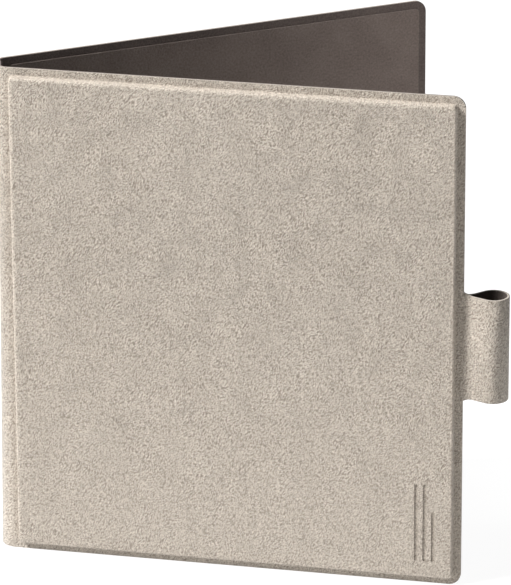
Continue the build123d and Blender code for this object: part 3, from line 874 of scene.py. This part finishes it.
def electronic_paper():
    """Electronic ink film: a warm light grey page with rows of words, inside plain margins."""
    material, tree, shader = new_material("electronic_paper", "#cfcfc8", 0.75)
    film_grain = 0.4 * MM
    place = node(tree, "ShaderNodeTexCoord")
    split = node(tree, "ShaderNodeSeparateXYZ", {0: place.outputs["Object"]})
    line_pitch = 5.2 * MM
    margin = 9.0 * MM
    word_grain = 2.6 * MM
    stroke_grain = 0.9 * MM
    rows_end = (page_high.z - page_low.z - 2.5 * margin) / line_pitch
    # Each stroke of type is about 0.5 mm wide, so a word looks like texture, never like letters.
    strokes = node(
        tree,
        "ShaderNodeTexNoise",
        {"Vector": place.outputs["Object"], "Scale": 1 / stroke_grain, "Detail": 1.0},
    )
    # Words are a few millimetres long, and each row's words fall in different places.
    across = node(tree, "ShaderNodeCombineXYZ")
    words = node(
        tree, "ShaderNodeTexNoise", {"Vector": across.outputs[0], "Scale": 1.0, "Detail": 0.0}
    )
    # Each sum has a name, an operation and its values, which are numbers or names of other sums.
    known = {
        "x": split.outputs["X"],
        "z": split.outputs["Z"],
        "words": words.outputs["Fac"],
        "strokes": strokes.outputs["Fac"],
    }
    for name, kind, *values in (
        # Rows of type run from the top margin down, each with a clear gap above it.
        ("down", "MULTIPLY_ADD", "z", -1 / line_pitch, (page_high.z - margin) / line_pitch),
        ("row", "FLOOR", "down"),
        ("in_row", "SUBTRACT", "down", "row"),
        ("row_top", "GREATER_THAN", "in_row", 0.28),
        ("row_foot", "LESS_THAN", "in_row", 0.68),
        ("inked", "MULTIPLY", "row_top", "row_foot"),
        ("along_row", "MULTIPLY", "x", 1 / word_grain),
        ("row_offset", "MULTIPLY", "row", 7.31),
        ("word", "GREATER_THAN", "words", 0.4),
        ("type_tone", "MULTIPLY_ADD", "strokes", 0.9, 0.2),
        # A paragraph ends after every sixth row, which is left empty.
        ("in_six", "MODULO", "row", 6.0),
        ("paragraph", "GREATER_THAN", "in_six", 0.5),
        # The type keeps inside the margins.
        ("below_head", "GREATER_THAN", "down", 0.0),
        ("above_end", "LESS_THAN", "down", rows_end),
        ("past_left", "GREATER_THAN", "x", page_low.x + margin),
        ("short_of_right", "LESS_THAN", "x", page_high.x - margin),
        ("upright_fit", "MULTIPLY", "below_head", "above_end"),
        ("sideways_fit", "MULTIPLY", "past_left", "short_of_right"),
        ("row_words", "MULTIPLY", "inked", "word"),
        ("row_shown", "MULTIPLY", "paragraph", "upright_fit"),
        ("rows", "MULTIPLY", "row_words", "row_shown"),
        ("shown", "MULTIPLY", "rows", "sideways_fit"),
        ("ink", "MULTIPLY", "shown", "type_tone"),
    ):
        values = {i: known.get(value, value) for i, value in enumerate(values)}
        known[name] = node(tree, "ShaderNodeMath", values, operation=kind).outputs[0]
    tree.links.new(known["along_row"], across.inputs["X"])
    tree.links.new(known["row_offset"], across.inputs["Y"])
    film = node(
        tree,
        "ShaderNodeTexNoise",
        {"Vector": place.outputs["Object"], "Scale": 1 / film_grain, "Detail": 2.0},
    )
    paper = node(
        tree,
        "ShaderNodeMix",
        {"Factor": film.outputs["Fac"], "A": linear("#c6c6be"), "B": linear("#d6d6cf")},
        data_type="RGBA",
    )
    page = node(
        tree,
        "ShaderNodeMix",
        {"Factor": known["ink"], "A": paper.outputs["Result"], "B": linear("#3b3b39")},
        data_type="RGBA",
    )
    tree.links.new(page.outputs["Result"], shader.inputs["Base Color"])
    return material


finish_nodes(electronic_paper(), "epaper_panel")
# Closed-cell foam tape: black, with cells about 0.3 mm across.
finish_nodes(speckled("foam_tape", "#161616", "#262626", 0.3 * MM, 0.95, 0.1 * MM), "panel_tape")
# Polyimide flex: amber film over copper, slightly glossy.
polyimide = speckled("polyimide_film", "#a8641c", "#c47f2c", 0.8 * MM, 0.35, 0.01 * MM)
finish_nodes(polyimide, "light_bar", "display_flex", "battery_lead")

# ---------------------------------------------------------------------------------------------
# Electronics. Green boards carry epoxy-moulded chips, a pressed steel can and sockets. The flat
# battery is a foil pouch. They sit in the shell behind the screen, out of sight when it is closed.
# ---------------------------------------------------------------------------------------------


def circuit_board():
    """Solder mask over copper: dark green, with lighter tracks about 0.3 mm wide across it."""
    block = 6.0 * MM
    grains_per_metre = 900
    material, tree, shader = new_material("solder_mask", "#1f5a38", 0.35)
    place = node(tree, "ShaderNodeTexCoord")
    tracks = node(
        tree,
        "ShaderNodeTexBrick",
        {
            "Vector": place.outputs["Object"],
            "Scale": 1 / block,
            "Mortar Size": 0.05,
            "Brick Width": 1.7,
            "Row Height": 0.45,
            "Color1": linear("#1b5233"),
            "Color2": linear("#226340"),
            "Mortar": linear("#3c8a5a"),
        },
    )
    grains = node(
        tree,
        "ShaderNodeTexNoise",
        {"Vector": place.outputs["Object"], "Scale": grains_per_metre, "Detail": 3.0},
    )
    shade = node(
        tree,
        "ShaderNodeMix",
        {"Factor": grains.outputs["Fac"], "A": tracks.outputs["Color"], "B": linear("#17482d")},
        data_type="RGBA",
    )
    tree.links.new(shade.outputs["Result"], shader.inputs["Base Color"])
    bump = node(
        tree,
        "ShaderNodeBump",
        {"Height": tracks.outputs["Fac"], "Strength": 0.6, "Distance": 0.05 * MM},
    )
    tree.links.new(bump.outputs["Normal"], shader.inputs["Normal"])
    return material


finish_nodes(circuit_board(), "main_board", "key_board")
# Moulded epoxy: matt black with a fine sand-like surface.
epoxy = speckled("moulded_epoxy", "#1b1b1d", "#2a2a2c", 0.2 * MM, 0.6, 0.02 * MM)
finish_nodes(epoxy, "processor", "wake_sensor", "speaker_top", "speaker_bottom", "power_switch")
# Stainless sheet: rolled, so its fine lines run along X.
sheet_steel = speckled(
    "rolled_stainless", "#a3a4a6", "#c3c4c6", 0.4 * MM, 0.32, 0.01 * MM, 1.0, (0.08, 1, 1)
)
finish_nodes(sheet_steel, "shield_can", "microphone", "usb_port", "key_domes")
# Battery pouch: aluminium laminate that creases over a few millimetres.
pouch_foil = speckled("battery_foil", "#94989c", "#b4b8bb", 3.0 * MM, 0.4, 0.12 * MM, 1.0)
finish_nodes(pouch_foil, "battery")

# ---------------------------------------------------------------------------------------------
# Floor, light and camera. The floor glows almost white, so that only soft shadows show on it. One
# square softbox lights the piece from the upper left, with a faint white light from all round.
# ---------------------------------------------------------------------------------------------
bpy.ops.mesh.primitive_plane_add(size=60)
floor = bpy.context.object
floor.name = "floor"
floor_material, _, floor_shader = new_material("pale_floor", "#6c6c6c", 0.9)
floor_shader.inputs["Specular IOR Level"].default_value = 0.1
floor_shader.inputs["Emission Color"].default_value = (1, 1, 1, 1)
floor_shader.inputs["Emission Strength"].default_value = 0.95
floor.data.materials.append(floor_material)

world = bpy.data.worlds.new("studio")
bpy.context.scene.world = world
world.use_nodes = True
surroundings = world.node_tree.nodes["Background"]
surroundings.inputs["Color"].default_value = (1, 1, 1, 1)
surroundings.inputs["Strength"].default_value = 0.08
bpy.context.scene.view_settings.view_transform = "Standard"

light_place = Vector((-1.45, -0.8, 1.75))
light_aim = Vector((0, 0, 0.08))
softbox = bpy.data.lights.new("key_light", "AREA")
softbox.size = 0.7
softbox.energy = 105
key_light = bpy.data.objects.new("key_light", softbox)
key_light.location = light_place
key_light.rotation_euler = (light_aim - light_place).to_track_quat("-Z", "Y").to_euler()
bpy.context.scene.collection.objects.link(key_light)

# The camera stands 1.6 m off with a long lens, to the near cover's right and looking down at it.
camera_turn = radians(12.36)
camera_tilt = radians(21.2)
camera_roll = radians(0.3)
camera_place = back_fold + Vector((381.1, -1372.8, 637.9)) * MM
forward = Vector(
    (
        -sin(camera_turn) * cos(camera_tilt),
        cos(camera_turn) * cos(camera_tilt),
        -sin(camera_tilt),
    )
)
level_right = Vector((cos(camera_turn), sin(camera_turn), 0))
level_up = level_right.cross(forward)
right = level_right * cos(camera_roll) - level_up * sin(camera_roll)
up = level_right * sin(camera_roll) + level_up * cos(camera_roll)
camera_data = bpy.data.cameras.new("camera")
camera_data.lens = 300.6
camera_data.sensor_width = 36
camera = bpy.data.objects.new("camera", camera_data)
camera_axes = Matrix((right, up, -forward)).transposed().to_4x4()
camera.matrix_world = Matrix.Translation(camera_place) @ camera_axes
camera_data.clip_end = 10
bpy.context.scene.collection.objects.link(camera)
bpy.context.scene.camera = camera
